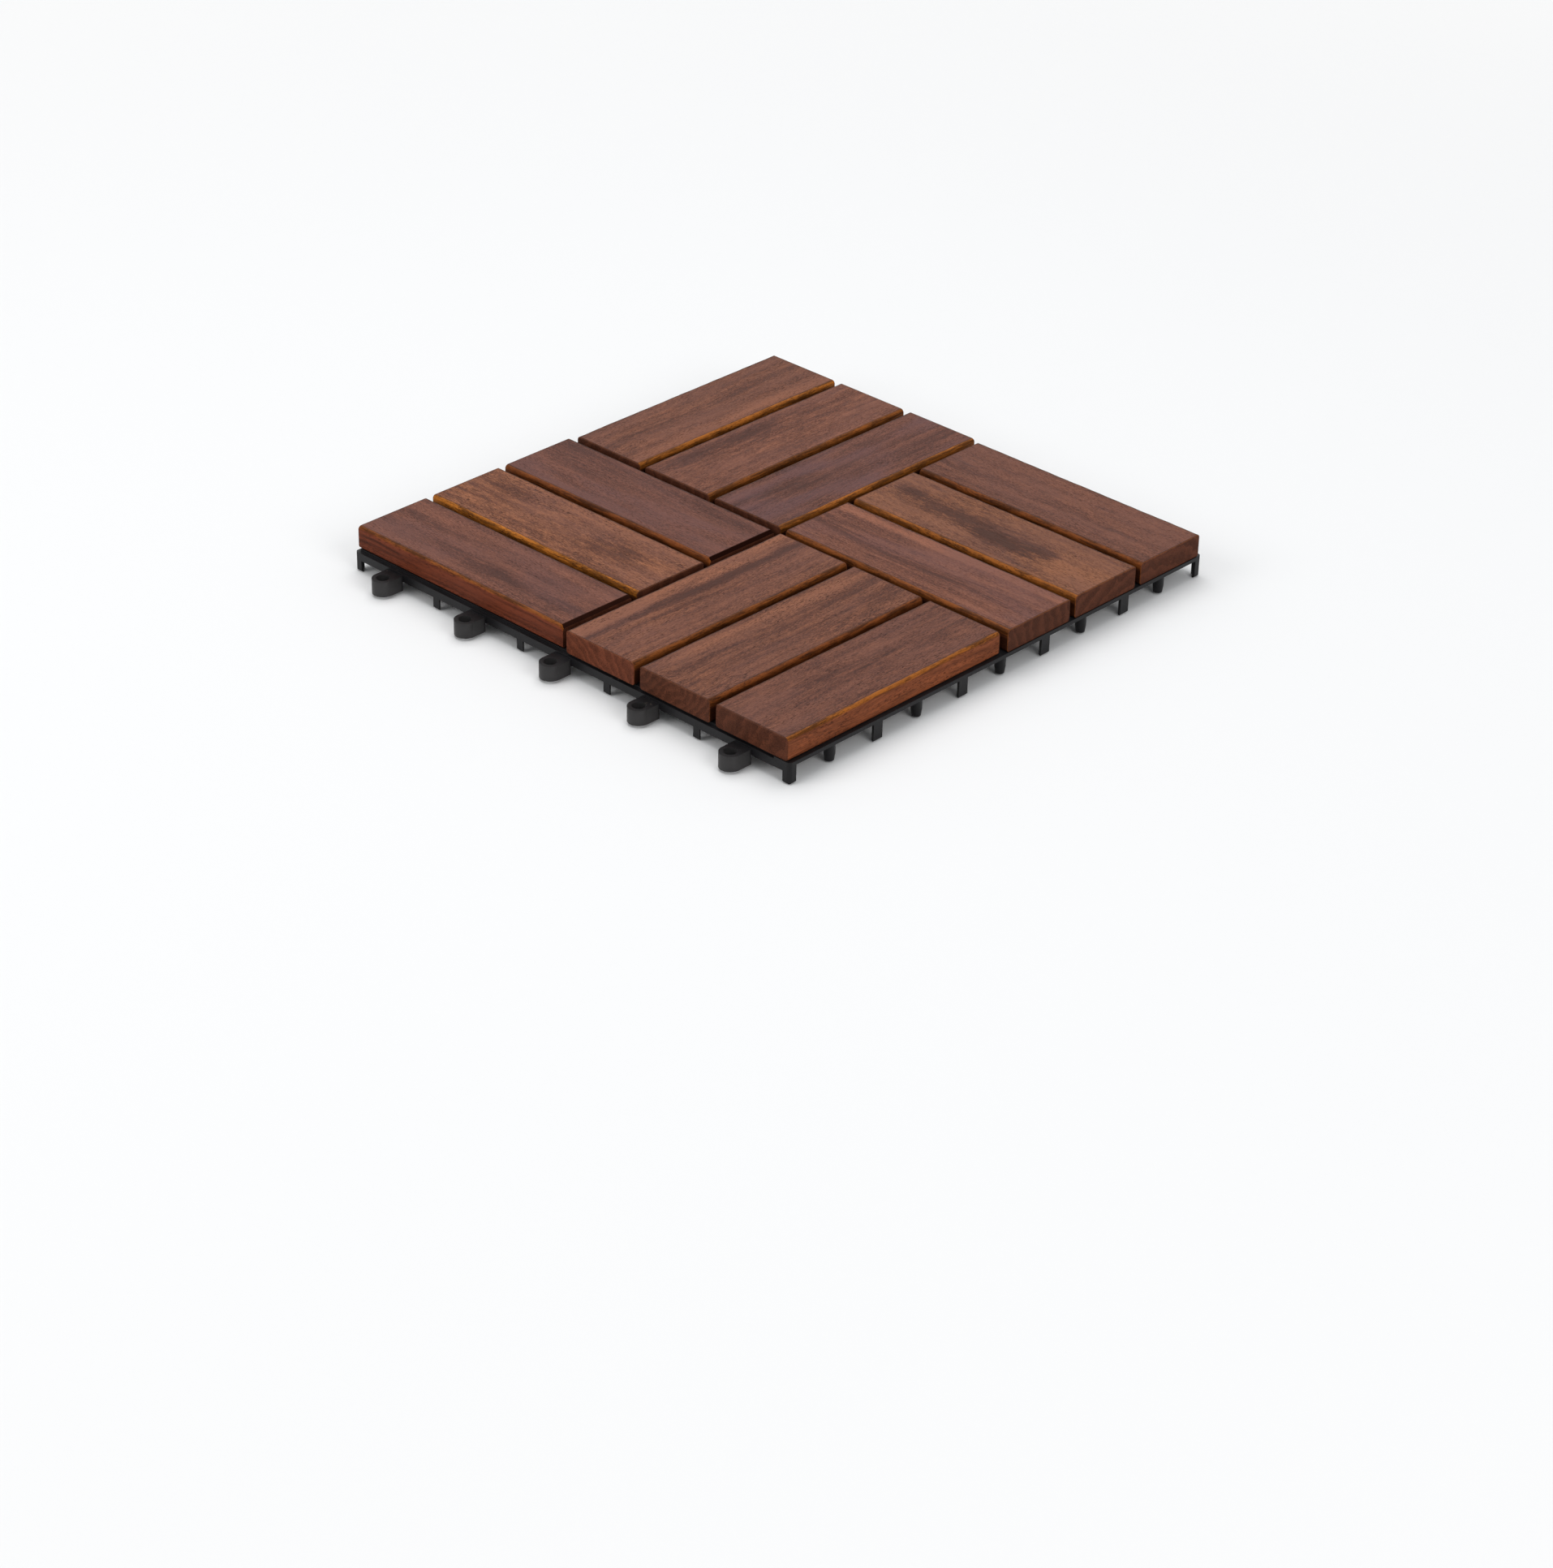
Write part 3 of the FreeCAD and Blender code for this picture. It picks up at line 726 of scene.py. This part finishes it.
def slat_mesh(name, size, look, seed, lit_side, settings, material):
    """A planed slat with wavering rounded long edges and eased ends, round its own middle."""
    length, width, thickness = size
    rng = np.random.RandomState(seed)
    stations = slat_stations(length, settings.end_ease / MM, look)
    places = np.array([row[0] for row in stations])
    left_radius, right_radius = settings.edge_radius / MM, settings.far_edge_radius / MM
    if lit_side > 0:
        left_radius, right_radius = right_radius, left_radius
    under_radius = settings.under_edge_radius / MM
    waver = settings.edge_waver / MM
    left_radii = left_radius + waver * smooth_waver(rng, places, (61.0, 27.0, 11.0))
    right_radii = right_radius + waver * smooth_waver(rng, places, (53.0, 31.0, 9.0))
    crown = CROWN * (1 + smooth_waver(rng, places, (90.0, 47.0)))
    hollow = HOLLOW * (1 + smooth_waver(rng, places, (80.0, 39.0)))
    points, reaches = [], []
    for station, left, right, drop, pull in zip(stations, left_radii, right_radii, crown, hollow):
        x, top_cut, side_cut, over_top, over_flank = station
        inner = float(x > 0 and over_top > 0)
        outline = slat_section(
            width / 2 - side_cut - pull,
            side_cut - thickness / 2,
            thickness / 2 - top_cut - drop,
            left - side_cut,
            right - side_cut,
            under_radius - side_cut,
        )
        points += [(x, y, z) for y, z, _ in outline]
        reaches += [
            (over, over_flank if over > 1.0 else over_top, inner) for _, _, over in outline
        ]
    count = len(outline)
    rings = len(stations)
    faces = []
    for ring in range(rings - 1):
        a, b = ring * count, (ring + 1) * count
        for i in range(count):
            j = (i + 1) % count
            faces.append((a + i, b + i, b + j, a + j))
    for ring, order in ((0, 1), (rings - 1, -1)):
        rim, cap = ring * count, len(points)
        outline = np.array(points[rim:rim + count])
        inset = outline + (outline.mean(axis=0) - outline) * CAP_INSET
        points += [tuple(p) for p in inset]
        reaches += [(DEEP, DEEP, 0.0)] * count
        for i in range(count):
            j = (i + 1) % count
            faces.append((rim + i, rim + j, cap + j, cap + i)[::order])
        faces.append(tuple(range(cap, cap + count))[::order])
    piece = new_piece(name, np.array(points) * MM, faces, material)
    layer = piece.data.attributes.new(REACH, "FLOAT_VECTOR", "POINT")
    layer.data.foreach_set("vector", np.array(reaches, np.float32).ravel())
    return piece


def add_slats(settings):
    for seed, (node, look) in enumerate(LOOKS.items(), 1):
        turns = GROUP_TURNS[node.split("_")[1]]
        low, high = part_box(node)
        box = (high - low) / MM
        size = max(box.x, box.y), min(box.x, box.y), box.z
        lit_side = -1.0 if turns < 2 else 1.0  # its own side that faces -Y or +X
        material = timber_material(f"timber_{node}", look, seed, lit_side, settings)
        piece = slat_mesh(f"{node}_timber", size, look, seed, lit_side, settings, material)
        turn = Matrix.Rotation(math.radians(90 * turns), 4, "Z")
        piece.matrix_world = Matrix.Translation((low + high) / 2) @ turn
        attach(piece, BODY)
        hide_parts(node)


def rim_end(settings):
    """The last bit of a loop side's wall, from the ribs' end to the corner foot."""
    outer, inner = -settings.rim_face / MM, (settings.wall_thickness - settings.rim_face) / MM
    start, end = settings.rib_end / MM, settings.corner_foot / MM
    floor, top = settings.wall_floor / MM, settings.band_floor / MM
    soft = settings.soft_edge / MM
    section = [
        (outer, top), (outer, floor + soft), (outer + soft, floor), (inner, floor), (inner, top)
    ]
    points = [(x, y, z) for x in (start, end) for y, z in section]
    count = len(section)
    faces = [(i, (i + 1) % count, count + (i + 1) % count, count + i) for i in range(count)]
    return points, faces + [tuple(range(count))[::-1], tuple(range(count, 2 * count))]


def dress_base(settings):
    """Gives the base its plastic, softens its edges and brings its wall up to the corners."""
    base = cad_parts[BASE_NODE]
    plastic = plastic_material(settings)
    base.data.materials.clear()
    base.data.materials.append(plastic)
    points, faces = rim_end(settings)
    mirrored = [(y, x, z) for x, y, z in points]
    faces += [tuple(len(points) + i for i in face)[::-1] for face in faces]
    ends = new_piece("base_rim_ends", np.array(points + mirrored) * MM, faces, plastic)
    ends.data.shade_flat()
    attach(ends, BODY)
    weld = base.modifiers.new("joined_facets", "WELD")
    weld.merge_threshold = WELD_GAP
    bevel = base.modifiers.new("soft_edges", "BEVEL")
    bevel.width = settings.soft_edge
    bevel.segments = 1
    bevel.limit_method = "ANGLE"
    bevel.angle_limit = math.radians(SOFT_EDGE_ANGLE)
    bevel.use_clamp_overlap = True


def cross_outline(radius, proportions, z):
    """The outline of a cross-shaped recess in a head of some radius."""
    share, half_slot = proportions
    reach = radius * share
    quarter = [(reach, -half_slot), (reach, half_slot), (half_slot, half_slot)]
    points = []
    for turn in range(4):
        c, s = math.cos(turn * math.pi / 2), math.sin(turn * math.pi / 2)
        points += [(x * c - y * s, x * s + y * c, z) for x, y in quarter]
    return points


def screw_form(settings, head_floor, head_top, tip):
    """One screw round the Z axis: a pan head with a cross recess below, its shank above."""
    radius = settings.head_diameter / MM / 2
    shank = settings.shank_diameter / MM / 2
    sides = settings.sides
    profile = [(radius * HEAD_FLAT, head_floor)]
    for angle in (-90, -60, -30, 0):
        turn = math.radians(angle)
        out, up = HEAD_SOFT * math.cos(turn), HEAD_SOFT * math.sin(turn)
        profile.append((radius - HEAD_SOFT + out, head_floor + HEAD_SOFT + up))
    profile += [(radius, head_top), (shank, head_top)]
    profile += [(shank, tip - POINT_LENGTH), (shank * POINT_WIDTH, tip)]
    points, faces = [], []
    for r, z in profile:
        for i in range(sides):
            a = 2 * math.pi * i / sides
            points.append((r * math.cos(a), r * math.sin(a), z))
    for ring in range(len(profile) - 1):
        a, b = ring * sides, (ring + 1) * sides
        faces += [(a + i, a + (i + 1) % sides, b + (i + 1) % sides, b + i) for i in range(sides)]
    top = (len(profile) - 1) * sides
    faces.append(tuple(range(top, top + sides)))
    mouth = len(points)
    points += cross_outline(radius, CROSS_MOUTH, head_floor)
    floor = len(points)
    points += cross_outline(radius, CROSS_FLOOR, head_floor + settings.recess_depth / MM)
    corners = floor - mouth
    for i in range(corners):
        j = (i + 1) % corners
        faces.append((mouth + i, floor + i, floor + j, mouth + j))
    faces.append(tuple(range(floor, floor + corners))[::-1])
    angles = [math.atan2(y, x) for x, y, _ in points[mouth:floor]]
    near = [round(a / (2 * math.pi) * sides) % sides for a in angles]
    for i in range(corners):
        j = (i + 1) % corners
        rim = [near[i]]
        while rim[-1] != near[j]:
            rim.append((rim[-1] + 1) % sides)
        faces.append((mouth + i, mouth + j, *reversed(rim)))
    return points, faces


def screw_axes():
    """Where the model's screws stand, and the heights of their two ends."""
    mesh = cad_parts[SCREW_NODE].data
    points = np.array([v.co for v in mesh.vertices]) / MM
    floor, tip = points[:, 2].min(), points[:, 2].max()
    heads = points[np.abs(points[:, 2] - floor) < SAME_LEVEL]
    axes = []
    for point in heads:
        for axis in axes:
            if math.dist(axis[0][:2], point[:2]) < HEAD_ROOM:
                axis.append(point)
                break
        else:
            axes.append([point])
    return [np.mean(axis, axis=0)[:2] for axis in axes], floor, tip


def add_screws(settings):
    axes, floor, tip = screw_axes()
    form, form_faces = screw_form(settings, floor, floor + settings.head_height / MM, tip)
    rng = np.random.RandomState(SCREW_SEED)
    points, faces = [], []
    for x, y in axes:
        turn = rng.uniform(0, math.pi / 2)
        c, s = math.cos(turn), math.sin(turn)
        first = len(points)
        points += [(x + px * c - py * s, y + px * s + py * c, pz) for px, py, pz in form]
        faces += [tuple(first + i for i in face) for face in form_faces]
    steel = steel_material(settings)
    piece = new_piece("slat_screws_plated", np.array(points) * MM, faces, steel)
    piece.data.set_sharp_from_angle(angle=math.radians(SCREW_SHARP_ANGLE))
    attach(piece, BODY)
    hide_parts(SCREW_NODE)


def floor_material(settings):
    """A matt pale floor, seen from above only, that passes into the white background."""
    material, graph, shader = fresh_material("studio_floor")
    graph.plug(shader.inputs["Base Color"], rgba(settings.floor_colour))
    shader.inputs["Roughness"].default_value = 0.9
    shader.inputs["Specular IOR Level"].default_value = 0.1
    output = next(n for n in graph.tree.nodes if n.type == "OUTPUT_MATERIAL")
    distance = graph.length(graph.node("ShaderNodeTexCoord").outputs["Object"])
    gone = graph.fade(distance, settings.floor_clear, settings.floor_gone)
    backfacing = graph.node("ShaderNodeNewGeometry").outputs["Backfacing"]
    clear = graph.node("ShaderNodeBsdfTransparent")
    unseen = graph.math("MAXIMUM", backfacing, gone)
    surface = graph.switch(unseen, shader.outputs[0], clear.outputs[0])
    graph.plug(output.inputs["Surface"], surface)
    return material


def add_floor(settings):
    reach = settings.floor_reach
    corners = [(-reach, -reach, 0), (reach, -reach, 0), (reach, reach, 0), (-reach, reach, 0)]
    floor = new_piece("studio_floor", corners, [(0, 1, 2, 3)], floor_material(settings))


def background(graph, colour, strength):
    node = graph.node("ShaderNodeBackground")
    graph.plug(node.inputs["Color"], colour)
    graph.plug(node.inputs["Strength"], strength)
    return node.outputs[0]


def add_world(settings):
    """Even light from all round, with a white background behind the tile and in reflections."""
    world = bpy.data.worlds.new("studio_surround")
    bpy.context.scene.world = world
    world.use_nodes = True
    world.node_tree.nodes.clear()
    graph = Graph(world.node_tree)
    output = graph.node("ShaderNodeOutputWorld")
    path = graph.node("ShaderNodeLightPath").outputs
    seen = graph.math("MAXIMUM", path["Is Camera Ray"], path["Is Transmission Ray"])
    seen = graph.math("MAXIMUM", seen, path["Is Glossy Ray"])
    light = background(graph, rgba(settings.surround_colour), settings.surround_strength)
    white = background(graph, (1.0, 1.0, 1.0, 1.0), 1.0)
    graph.plug(output.inputs["Surface"], graph.switch(seen, light, white))


def add_lamp(name, place, size, power):
    """A soft square lamp that points at the middle of the tile."""
    lamp = bpy.data.lights.new(name, "AREA")
    lamp.shape = "SQUARE"
    lamp.size = size
    lamp.energy = power
    holder = bpy.data.objects.new(name, lamp)
    bpy.context.scene.collection.objects.link(holder)
    holder.location = place
    holder.rotation_euler = (-Vector(place)).to_track_quat("-Z", "Y").to_euler()


def add_camera():
    """The photograph's camera, with the tile at the same place in the picture."""
    azimuth, elevation, roll = (math.radians(angle) for angle in CAMERA_ANGLES)
    back = Vector((
        math.sin(azimuth) * math.cos(elevation),
        -math.cos(azimuth) * math.cos(elevation),
        math.sin(elevation),
    ))
    level = Vector((math.cos(azimuth), math.sin(azimuth), 0.0))
    rise = back.cross(level)
    right = level * math.cos(roll) + rise * math.sin(roll)
    up = rise * math.cos(roll) - level * math.sin(roll)
    lens = bpy.data.cameras.new("photo_view")
    lens.sensor_fit = "AUTO"
    lens.sensor_width = SENSOR_WIDTH
    lens.lens = SENSOR_WIDTH * FOCAL_POINTS / PICTURE_POINTS
    camera = bpy.data.objects.new("photo_view", lens)
    bpy.context.scene.collection.objects.link(camera)
    matrix = Matrix((right, up, back)).transposed().to_4x4()
    matrix.translation = Vector(CAMERA_PLACE)
    camera.matrix_world = matrix
    bpy.context.scene.camera = camera


def add_stage(settings):
    bpy.context.scene.view_settings.view_transform = "Standard"
    add_camera()
    add_floor(settings)
    add_world(settings)
    for name, place, size, power in LAMPS:
        add_lamp(name, place, size, getattr(settings, power))


def colour_prop(name, description, default):
    return FloatVectorProperty(
        name=name, description=description, default=default,
        size=3, min=0.0, max=1.0, subtype="COLOR",
    )


def share_prop(name, description, default):
    return FloatProperty(
        name=name, description=description, default=default, min=0.0, max=1.0, subtype="FACTOR"
    )


def length_prop(name, description, default):
    return FloatProperty(
        name=name, description=description, default=default,
        min=0.0, precision=5, subtype="DISTANCE", unit="LENGTH",
    )


def amount_prop(name, description, default):
    return FloatProperty(name=name, description=description, default=default, min=0.0)


class DeckTileSlatSettings(bpy.types.PropertyGroup):
    """Sizes and colours of the hardwood slats."""

    edge_radius: length_prop(
        "Edge radius", "Radius of the upper long edges on the -Y and +X sides", 0.0020
    )
    far_edge_radius: length_prop("Far edge radius", "Radius of the other upper long edges", 0.0014)
    under_edge_radius: length_prop("Under edge radius", "Radius of the lower long edges", 0.0014)
    edge_waver: length_prop("Edge waver", "How far a radius strays along a slat", 0.00030)
    end_ease: length_prop("End ease", "Rounding of the slat ends at the rim", 0.0005)
    purple_light: colour_prop(
        "Purple light", "Light grain of the purple brown wood", (0.222, 0.081, 0.051)
    )
    purple_dark: colour_prop(
        "Purple dark", "Dark grain of the purple brown wood", (0.069, 0.021, 0.014)
    )
    tan_light: colour_prop("Tan light", "Light grain of the tan wood", (0.292, 0.110, 0.046))
    tan_dark: colour_prop("Tan dark", "Dark grain of the tan wood", (0.085, 0.025, 0.011))
    smoky: colour_prop("Smoky", "Greyish clouds in the wood", (0.118, 0.047, 0.037))
    violet: colour_prop("Violet", "The same clouds in bluer slats", (0.117, 0.053, 0.056))
    # Painted highlight on the rounded long edges, from its brightest colour to its dullest
    edge_highlight: colour_prop("Gold", "The brightest rounded long edges", (0.500, 0.165, 0.022))
    edge_highlight_dull: colour_prop("Edge brown", "The dullest rounded long edges", (0.165, 0.042, 0.012))
    # The sides' colour: partly their own redder grain, partly painted shade
    side_tint: colour_prop("Side tint", "What the sides are multiplied by", (0.86, 0.66, 0.45))
    end_light: colour_prop("End grain", "Light rings of the sawn ends", (0.125, 0.043, 0.023))
    end_red: colour_prop("Red end grain", "Light rings of redder sawn ends", (0.175, 0.048, 0.023))
    # Painted shade: a dark line round the top face
    edge_shade_line: share_prop("Edge line", "How dark the line round the top face is", 0.75)
    roughness: share_prop("Roughness", "Dullness of the oiled surface", 0.48)


class DeckTileBaseSettings(bpy.types.PropertyGroup):
    """Finish of the moulded base."""

    colour: colour_prop("Colour", "Colour of the plastic", (0.0058, 0.0055, 0.0062))
    roughness: share_prop("Roughness", "Dullness of the plastic", 0.42)
    # Painted light on the upright sides of the loops
    painted_loop_light_colour: colour_prop("Painted loop light", "Sides of the loops", (0.036, 0.034, 0.034))
    rim_face: length_prop("Rim face", "From the middle to the face of the rim", 0.1475)
    rib_end: length_prop("Rib end", "From the middle to the end of the ribs", 0.1375)
    corner_foot: length_prop("Corner foot", "From the middle to the side of a corner foot", 0.1430)
    wall_thickness: length_prop("Wall thickness", "Thickness of the loop sides' wall", 0.0026)
    wall_floor: length_prop("Wall floor", "Height of that wall's underside", 0.0062)
    band_floor: length_prop("Band floor", "Height of the underside of the edge's band", 0.0095)
    soft_edge: length_prop("Soft edge", "Width of the softened edges", 0.00025)
    dust: share_prop("Dust", "How much of the fine dust on the ledge shows", 0.7)
    dust_colour: colour_prop("Dust colour", "Colour of that dust", (0.32, 0.27, 0.22))


class DeckTileScrewSettings(bpy.types.PropertyGroup):
    """Sizes and finish of the screws under the tile."""

    colour: colour_prop("Colour", "Colour of the plated steel", (0.62, 0.60, 0.56))
    roughness: share_prop("Roughness", "Dullness of the steel", 0.32)
    head_diameter: length_prop("Head diameter", "Diameter of a screw's head", 0.0068)
    head_height: length_prop("Head height", "Height of a screw's head", 0.0022)
    shank_diameter: length_prop("Shank diameter", "Diameter of a screw's shank", 0.0032)
    recess_depth: length_prop("Recess depth", "Depth of the cross recess", 0.0013)
    sides: IntProperty(
        name="Sides", description="Flat sides that a head is drawn with",
        default=32, min=12, max=64,
    )


class DeckTileStageSettings(bpy.types.PropertyGroup):
    """The studio round the tile."""

    floor_colour: colour_prop("Floor colour", "Colour of the floor", (0.94, 0.94, 0.94))
    floor_reach: length_prop("Floor reach", "Half the side of the floor", 3.0)
    floor_clear: length_prop("Floor clear", "How far out the floor is plain", 0.4)
    floor_gone: length_prop("Floor gone", "How far out it has passed into white", 1.5)
    surround_colour: colour_prop("Surround colour", "Colour of the even light", (0.96, 0.98, 1.0))
    surround_strength: amount_prop("Surround strength", "Strength of the even light", 0.45)
    overhead_power: amount_prop("Overhead power", "Power of the lamp overhead in watts", 30.0)
    side_power: amount_prop("Side power", "Power of each side lamp in watts", 18.0)


class DECKTILE_OT_slats(bpy.types.Operator):
    """Replace the plain slats with finished hardwood ones"""

    bl_idname = "deck_tile.slats"
    bl_label = "Add Slats"

    def execute(self, context):
        add_slats(context.scene.deck_tile_slats)
        return {"FINISHED"}


class DECKTILE_OT_base(bpy.types.Operator):
    """Give the moulded base its plastic finish"""

    bl_idname = "deck_tile.base"
    bl_label = "Finish Base"

    def execute(self, context):
        dress_base(context.scene.deck_tile_base)
        return {"FINISHED"}


class DECKTILE_OT_screws(bpy.types.Operator):
    """Replace the plain screws with cross-recessed ones"""

    bl_idname = "deck_tile.screws"
    bl_label = "Add Screws"

    def execute(self, context):
        add_screws(context.scene.deck_tile_screws)
        return {"FINISHED"}


class DECKTILE_OT_stage(bpy.types.Operator):
    """Set up the camera, the floor and the soft studio light"""

    bl_idname = "deck_tile.stage"
    bl_label = "Set Stage"

    def execute(self, context):
        add_stage(context.scene.deck_tile_stage)
        return {"FINISHED"}


SECTIONS = (
    ("deck_tile_slats", DeckTileSlatSettings, DECKTILE_OT_slats),
    ("deck_tile_base", DeckTileBaseSettings, DECKTILE_OT_base),
    ("deck_tile_screws", DeckTileScrewSettings, DECKTILE_OT_screws),
    ("deck_tile_stage", DeckTileStageSettings, DECKTILE_OT_stage),
)


class DECKTILE_PT_sidebar(bpy.types.Panel):
    """Lists the pieces of the deck tile with their sizes and colours"""

    bl_idname = "DECKTILE_PT_sidebar"
    bl_label = "Deck Tile"
    bl_space_type = "VIEW_3D"
    bl_region_type = "UI"
    bl_category = "Deck Tile"

    def draw(self, context):
        for attribute, group, operator in SECTIONS:
            box = self.layout.box()
            box.operator(operator.bl_idname)
            settings = getattr(context.scene, attribute)
            for name in group.__annotations__:
                box.prop(settings, name)


def register():
    for attribute, group, operator in SECTIONS:
        bpy.utils.register_class(group)
        bpy.utils.register_class(operator)
        setattr(bpy.types.Scene, attribute, PointerProperty(type=group))
    bpy.utils.register_class(DECKTILE_PT_sidebar)


def unregister():
    bpy.utils.unregister_class(DECKTILE_PT_sidebar)
    for attribute, group, operator in reversed(SECTIONS):
        delattr(bpy.types.Scene, attribute)
        bpy.utils.unregister_class(operator)
        bpy.utils.unregister_class(group)


def main():
    register()
    bpy.ops.deck_tile.stage()
    bpy.ops.deck_tile.base()
    bpy.ops.deck_tile.slats()
    bpy.ops.deck_tile.screws()


if __name__ == "__main__":
    main()
